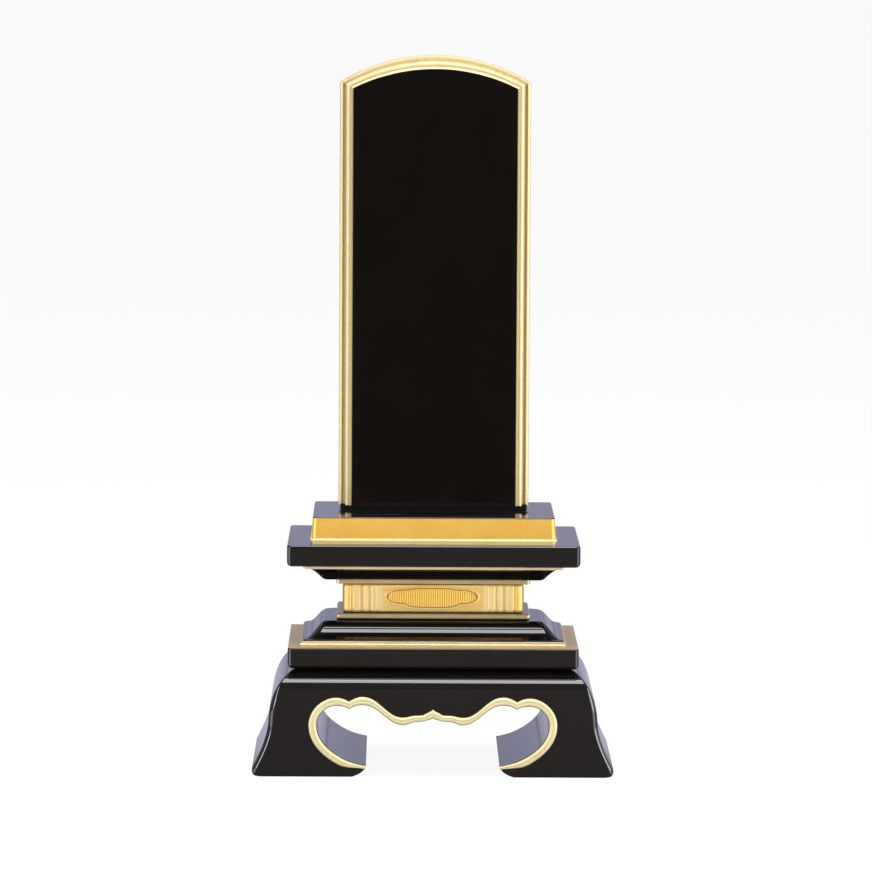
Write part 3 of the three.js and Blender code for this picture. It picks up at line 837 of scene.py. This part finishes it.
# Upright ribs in the recess, placed along a line and cut to the lobed outline by their scale
def ribTree(material, sizes, names):
    tree = Tree(bpy.data.node_groups.new("cartoucheRibs", "GeometryNodeTree"))
    group = tree.tree.interface
    for name in names:
        kind = "NodeSocketInt" if name == "Count" else "NodeSocketFloat"
        group.new_socket(name, in_out="INPUT", socket_type=kind)
    group.new_socket("Geometry", in_out="OUTPUT", socket_type="NodeSocketGeometry")

    outputs = tree.add("NodeGroupInput").socket.node.outputs
    given = {output.name: Shade(tree, output) for output in outputs}
    count, pitch, centre, lift = (given[name] for name in ("Count", "Pitch", "Centre X", "Lift"))
    startX = centre - (count - 1.0) * 0.5 * pitch
    start = tree.vector(startX, given["Front"], given["Centre Z"])
    line = tree.add("GeometryNodeMeshLine", {"mode": "OFFSET"},
                    {"Count": count, "Start Location": start, "Offset": tree.vector(pitch)})
    stock = sizes["ribStock"] * mm
    rib = tree.add("GeometryNodeMeshCylinder", {"fill_type": "NGON"},
                   {"Vertices": sizes["ribSides"], "Radius": given["Radius"], "Depth": stock})
    across = (tree.axis("X", tree.add("GeometryNodeInputPosition")) - centre).math("ABSOLUTE")

    def reach(wide, tall, power):
        share = (across / wide).math("MINIMUM", 1.0)
        return tall * (1.0 - share.math("POWER", power)).math("SQRT")

    wide = reach(given["Wide X"], given["Wide Z"], sizes["wide"][3])
    tall = reach(given["Tall X"], given["Tall Z"], sizes["tall"][3])
    above, below = ((wide + lift).math("MAXIMUM", tall), (wide - lift).math("MAXIMUM", tall))
    length = (above + below - 2 * sizes["ribGap"] * mm).math("MAXIMUM", sizes["ribLeast"] * mm)
    lifted, scale = tree.vector(z=(above - below) * 0.5), tree.vector(1.0, 1.0, length / stock)
    raised = tree.add("GeometryNodeSetPosition", {}, {0: line, "Offset": lifted})
    placed = tree.add("GeometryNodeInstanceOnPoints", {}, {"Points": raised, "Instance": rib, "Scale": scale})
    solid = tree.add("GeometryNodeRealizeInstances", {}, {0: placed})
    coloured = tree.add("GeometryNodeSetMaterial", {}, {0: solid, "Material": material})
    tree.add("NodeGroupOutput", {}, {0: coloured})
    return tree.tree


# What the ribs' tree is given, in metres
def ribValues(side, sizes):
    front = neckSizes["half"][1] - sizes["depth"] - sizes["ribRadius"] + sizes["ribProud"]
    (wideX, wideZ, lift, _), (tallX, tallZ, _, _) = sizes["wide"], sizes["tall"]
    values = {
        "Pitch": sizes["ribPitch"], "Radius": sizes["ribRadius"], "Front": side * front,
        "Centre X": -side * sizes["centre"][0], "Centre Z": sizes["centre"][1],
        "Wide X": wideX, "Wide Z": wideZ, "Tall X": tallX, "Tall Z": tallZ, "Lift": lift,
    }
    count = int(2 * (wideX - sizes["ribInset"]) / sizes["ribPitch"])
    return {"Count": count, **{key: value * mm for key, value in values.items()}}


def makeRibs(name, group, side, sizes):
    source = addObject(name + "_source", bpy.data.meshes.new(name))
    modifier = source.modifiers.new("ribs", "NODES")
    modifier.node_group = group
    values = ribValues(side, sizes)
    for item in group.interface.items_tree:
        if item.in_out == "INPUT":
            modifier[item.identifier] = values[item.name]
    evaluated = source.evaluated_get(bpy.context.evaluated_depsgraph_get())
    mesh = bpy.data.meshes.new_from_object(evaluated)
    source.modifiers.clear()
    bpy.data.objects.remove(source)
    mesh.name = name
    addPiece(name, mesh, "stand", sizes["ribSharp"])


ribs = ribTree(gilt["ribGold"], cartouche, list(ribValues(1, cartouche)))
makeRibs("neck_front_ribs", ribs, -1, cartouche)
makeRibs("neck_back_ribs", ribs, 1, cartouche)
print("ribs made")

upperOgee = {
    "corner": 0.6,
    "slope": [
        (27.9, 14.2, 50.8), (28.5, 14.6, 50.85), (29.05, 15.05, 51.02), (29.65, 15.65, 51.5),
        (30.2, 16.2, 52.1), (30.8, 16.8, 52.7), (31.6, 17.6, 53.4), (32.3, 18.3, 53.9), (33.0, 19.0, 54.2),
    ],
}
tierPiece("upper_lacquered_ogee", smoothThrough(upperOgee["slope"]), upperOgee["corner"], [lacquer],
          "upper_ogee", sharpAngle=50)

underPlateFillet = {
    "corner": 0.6,
    "line": [
        (33.5, 19.2, 54.2, 0), (34.45, 20.0, 54.25, 0.15), (34.45, 20.0, 55.4, 0.1), (34.0, 19.6, 55.4, 0),
    ],
}
tierPiece("under_plate_gilt_fillet", eased(underPlateFillet["line"]), underPlateFillet["corner"],
          [gilt["borderGold"]], "under_plate_fillet")

upperPlate = {
    "half": (38.7, 24.4), "foot": 55.3, "top": 61.0, "corner": 1.15, "footRound": 1.25, "topRound": 0.5,
}
makePlate("upper_lacquered_plate", "upper_plate", upperPlate)

plinth = {
    "half": (32.0, 19.8), "lean": 0.25, "corner": 1.1, "foot": 62.2, "top": 68.05, "topRound": 0.3,
    "mortiseHalf": (15.3, 3.0), "setBack": 3.0, "pocket": 62.5,
    # the gilt strip round its foot: out from the plinth, and height
    "strip": [
        (0.0, 61.0), (0.05, 61.0), (0.05, 61.6), (0.3, 61.66), (0.36, 61.85), (0.3, 62.15), (0.1, 62.36),
        (0.0, 62.4), (-1.2, 62.4),
    ],
}


def makePlinthStrip(sizes):
    x, y = (half + sizes["lean"] for half in sizes["half"])
    line = [(x + out, y + out, z) for out, z in sizes["strip"]]
    tierPiece("plinth_gilt_foot", line, sizes["corner"], [gilt["carvedGold"]], "plinth_foot")


def makePlinth(sizes):
    (x, y), lean, top, corner = sizes["half"], sizes["lean"], sizes["top"], sizes["corner"]
    rings = [tierRing(x + lean, y + lean, sizes["foot"], corner)]
    for down, away in quarterRound(sizes["topRound"], 6):
        rings.append(tierRing(x - away, y - away, top - down, corner))
    points, faces = skin(rings, topCap=False)
    around = len(rings[0])
    outer = list(range(len(points) - around, len(points)))
    (mx, my), back = sizes["mortiseHalf"], sizes["setBack"]
    mouth = [(mx, back - my), (mx, back + my), (-mx, back + my), (-mx, back - my)]
    first = len(points)
    points += [(px, py, z) for z in (top, sizes["pocket"]) for px, py in mouth]
    quarter = around // 4
    # The top in four parts, each from an outer side to a side of the mortise, and the mortise's walls.
    # A ring starts at the front right corner and turns anticlockwise.
    for i in range(4):
        after = (i + 1) % 4
        arc = outer[i * quarter:(i + 1) * quarter]
        faces.append((*arc, outer[after * quarter], first + after, first + i))
        faces.append((first + i, first + after, first + 4 + after, first + 4 + i))
    faces.append(tuple(range(first + 4, first + 8)))
    kinds = [1] * around + [0] * (len(faces) - around)  # the walls are gilt up to the rounded top edge
    makePiece("lacquered_plinth", points, faces, [lacquer, gilt["plinthGold"]], "stand",
              ["socket_plinth"], kinds)


makePlinthStrip(plinth)
makePlinth(plinth)
print("upper tiers made")

tablet = {
    "half": 25.43, "crown": 7.2, "spring": 182.1, "setBack": 3.0, "panelHalfThick": 4.3, "border": 3.5,
    "foot": 68.1, "footTop": 69.1, "footInset": 0.4, "footHalfThick": 2.6, "footCorner": 0.3, "footLap": 0.4,
    "tenonHalf": (15.0, 2.7), "tenonLength": 5.5, "tenonTaper": (0.8, 0.1), "ease": 0.14, "arcSteps": 48,
}
# Border from its outer edge: in from the edge, out from the middle plane
borderSection = [
    (0.0, 0.0), (0.0, 1.2), (0.06, 1.52), (0.25, 1.76), (0.5, 1.84), (0.76, 1.78), (0.95, 1.5),
    (1.12, 1.25), (1.4, 1.3), (1.64, 1.75), (1.84, 2.6), (1.98, 2.98), (2.28, 3.2), (2.58, 3.08),
    (2.77, 2.85), (2.81, 2.78), (3.52, 4.12),
]
# Painted shade on its leaf: on the stiles in the cove, at the rim and down the inner bevel. Light from above
# fills the arch's coves, so there the painted shade lies at the inner roll and the rim, with a little
# everywhere.
borderPaintedShade = {
    "cove": (1.25, 0.55), "bevel": (2.7, 0.7), "rim": (0.3, 0.5),
    "archRoll": (2.1, 0.6, 0.55), "archRim": (0.85, 0.6), "archLeast": 0.2,
}


def archOf(inset):
    half, crown, steps = tablet["half"], tablet["crown"], tablet["arcSteps"]
    radius = (half ** 2 + crown ** 2) / (2 * crown)
    apex = tablet["spring"] + crown - inset
    sweep = math.asin((half - inset) / radius)
    angles = [sweep * (1 - 2 * step / steps) for step in range(steps + 1)]
    return [(radius * math.sin(angle), apex - radius * (1 - math.cos(angle))) for angle in angles]


def makeBoard(sizes):
    half, foot, back = sizes["half"] - sizes["border"], sizes["footTop"], sizes["setBack"]
    outline = [(-half, foot), (half, foot)] + archOf(sizes["border"])
    middle = (foot + sizes["spring"]) / 2
    stages = [(by, sizes["panelHalfThick"] - less) for by, less in quarterRound(sizes["ease"], 3)]
    stages += [(by, -out) for by, out in reversed(stages)]
    rings = []
    for by, out in stages:
        shrunk = [(px - math.copysign(by, px), pz - math.copysign(by, pz - middle)) for px, pz in outline]
        rings.append([(px, back - out, pz) for px, pz in reversed(shrunk)])
    points, faces = skin(rings)
    makePiece("lacquered_tablet", points, faces, [lacquer], "tablet", ["tablet_board"])


def makeFoot(sizes):
    x, y, foot = sizes["half"] - sizes["footInset"], sizes["footHalfThick"], sizes["foot"]
    (tx, ty), (taper, ease) = sizes["tenonHalf"], sizes["tenonTaper"]
    end = foot - sizes["tenonLength"]
    line = eased([(tx - taper, ty - taper, end, 0), (tx, ty, end + taper, ease), (tx, ty, foot, 0)])
    line += [(x, y, foot), (x, y, sizes["footTop"] + sizes["footLap"])]
    rings = [tierRing(*point, sizes["footCorner"]) for point in line]
    points, faces = skin([[(px, py + sizes["setBack"], pz) for px, py, pz in ring] for ring in rings])
    makePiece("tablet_foot_and_tenon", points, faces, [lacquer], "tablet", [])


def smoothSection():
    curve = [tuple(point) for point in smoothThrough(borderSection[1:-1], 4)]
    front = [borderSection[0], *curve, borderSection[-1]]
    return [(inset, -out) for inset, out in front[::-1]] + front[1:]


def stilePaintedShadeAt(inset, leaf):
    (coveAt, coveHalf), (bevelAt, bevelWide), (rimWide, rimShade) = leaf["cove"], leaf["bevel"], leaf["rim"]
    cove = max(0, 1 - abs(inset - coveAt) / coveHalf)
    bevel = min(max((inset - bevelAt) / bevelWide, 0), 1)
    return max(cove * (2 - cove), bevel, rimShade if inset < rimWide else 0)


def archPaintedShadeAt(inset, leaf):
    (rollAt, rollHalf, rollShade), (rimShade, rimWide) = leaf["archRoll"], leaf["archRim"]
    roll = rollShade * max(0, 1 - abs(inset - rollAt) / rollHalf)
    return max(roll, rimShade - min(inset, rimWide), leaf["archLeast"])


def makeBorder(sizes):
    section, back, golds = smoothSection(), sizes["setBack"], [gilt["borderGold"]]
    insets = [inset for inset, _ in section]
    stilePaintedShades = [stilePaintedShadeAt(inset, borderPaintedShade) for inset in insets]
    archPaintedShades = [archPaintedShadeAt(inset, borderPaintedShade) for inset in insets]
    stations = zip(*(archOf(inset) for inset in insets))
    rings = [[(x, back + out, z) for (x, z), (_, out) in zip(station, section)] for station in stations]
    points, faces = skin(rings)
    makePiece("gilt_arch", points, faces, golds, "tablet", ["arch_moulding"],
              sharpAngle=50, paintedShades=archPaintedShades * len(rings))
    for name, side in (("right", 1), ("left", -1)):
        low = [(side * (sizes["half"] - inset), back + out, sizes["footTop"]) for inset, out in section]
        high = [(side * x, y, z) for x, y, z in rings[0]]
        points, faces = skin([low[::side], high[::side]])
        makePiece(f"gilt_stile_{name}", points, faces, golds, "tablet", [f"{name}_stile_moulding"],
                  sharpAngle=50, paintedShades=stilePaintedShades[::side] * 2)


makeBoard(tablet)
makeFoot(tablet)
makeBorder(tablet)
print("tablet made")

# Hidden wood
for name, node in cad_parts.items():
    if "dowel" in name or name == "neck_core":
        node.data.materials.clear()
        node.data.materials.append(bareWood)

# In reflections the floor shows two bright lanes that fan out from the front corners, which draw the light
# lines in the arrises. The stage is in metres.
stage = {
    "front": -0.6, "back": 30.0, "side": 30.0,
    "tone": (0.45, 0.45, 0.45, 1), "seenTone": (1.12, 1.12, 1.11, 1), "cameraShare": 0.82,
    "glossyFront": (0.25, 0.235, 0.215, 1), "glossyBack": (0.46, 0.46, 0.61, 1), "glossyTurn": (-0.03, 0.05),
    "laneFrom": (0.046, -0.022), "laneRise": 0.01, "lane": (0.5, 0.75, 4.0, 6.0),
    "laneTone": (4.0, 3.9, 4.1, 1),
}


def floorMirror(tree, place, sizes):
    across, ahead = tree.axis("X", place).math("ABSOLUTE"), tree.axis("Y", place)
    fromX, fromY = sizes["laneFrom"]
    fan = (across - fromX) / (fromY - ahead).math("MAXIMUM", 0.001)
    inner, begun, ending, outer = sizes["lane"]
    lane = tree.between(fan, inner, begun) * tree.between(fan, outer, ending)
    lane = lane * tree.between(ahead, fromY, fromY - sizes["laneRise"])
    table = tree.blend(tree.between(ahead, *sizes["glossyTurn"]), sizes["glossyFront"], sizes["glossyBack"])
    return tree.blend(lane, table, sizes["laneTone"])


def floorMaterial(sizes):
    material, tree, place = newMaterial("paleFloor")
    matt = tree.add("ShaderNodeBsdfDiffuse", {}, {"Color": sizes["tone"]})
    seen, mirrored, passed = (tree.add("ShaderNodeLightPath", output=f"Is {ray} Ray")
                              for ray in ("Camera", "Glossy", "Transmission"))
    colour = tree.blend(seen, floorMirror(tree, place, sizes), sizes["seenTone"])
    glow = tree.add("ShaderNodeEmission", {}, {"Color": colour})
    share = (seen + mirrored + passed).math("MINIMUM", 1.0) * sizes["cameraShare"]
    mixed = tree.add("ShaderNodeMixShader", {}, {0: share, 1: matt, 2: glow})
    tree.add("ShaderNodeOutputMaterial", {}, {"Surface": mixed})
    return material


def makeFloor(sizes):
    mesh = bpy.data.meshes.new("floor")
    side, near, far = sizes["side"], sizes["front"], sizes["back"]
    mesh.from_pydata([(-side, near, 0), (side, near, 0), (side, far, 0), (-side, far, 0)], [], [(0, 1, 2, 3)])
    mesh.materials.append(floorMaterial(sizes))
    floor = addObject("floor", mesh)


makeFloor(stage)

# Softboxes, all facing the tablet: place, size in metres, brightness and tint
softboxTarget = (0, 0, 0.09)
softboxes = {
    "overhead": ((0.0, -0.18, 1.02), (0.56, 0.90), 8.5, (0.97, 0.965, 1.0)),
    "leftBox": ((-0.78, -0.92, 0.20), (0.44, 0.46), 10.0, (1.0, 0.985, 0.98)),
    "rightBox": ((1.02, -0.66, 0.20), (0.75, 0.46), 9.0, (1.0, 0.985, 0.98)),
    "rightBack": ((1.0, 0.50, 0.30), (0.5, 0.6), 1.6, (1.0, 0.96, 0.90)),
}


def makeSoftboxes(boxes):
    for name, (place, size, bright, tint) in boxes.items():
        data = bpy.data.lights.new(name + "Softbox", "AREA")
        data.shape, data.size, data.size_y = "RECTANGLE", *size
        data.color, data.energy = tint, bright * math.pi * size[0] * size[1]
        lamp = addObject(name + "Softbox", data)
        lamp.location = place
        lamp.rotation_euler = (Vector(place) - Vector(softboxTarget)).to_track_quat("Z", "Y").to_euler()
        lamp.visible_camera = False


makeSoftboxes(softboxes)

roomLook = {
    "back": (0.45, 0.45, 0.62, 1), "front": (0.22, 0.22, 0.26, 1), "below": (0.03, 0.03, 0.03, 1),
    "seen": (1, 1, 1, 1), "turn": (-0.7, -0.1), "horizon": (-0.03, 0.03),
}


def makeRoom(look):
    world = bpy.data.worlds.new("paleRoom")
    world.use_nodes = True
    bpy.context.scene.world = world
    tree = Tree(world.node_tree)
    way = tree.add("ShaderNodeTexCoord", output="Generated")
    above = tree.blend(tree.between(tree.axis("Y", way), *look["turn"]), look["front"], look["back"])
    colour = tree.blend(tree.between(tree.axis("Z", way), *look["horizon"]), look["below"], above)
    shown = tree.blend(tree.add("ShaderNodeLightPath", output="Is Camera Ray"), colour, look["seen"])
    light = tree.add("ShaderNodeBackground", {}, {"Color": shown})
    tree.add("ShaderNodeOutputWorld", {}, {"Surface": light})


makeRoom(roomLook)
bpy.context.scene.view_settings.view_transform = "Standard"
print("stage made")
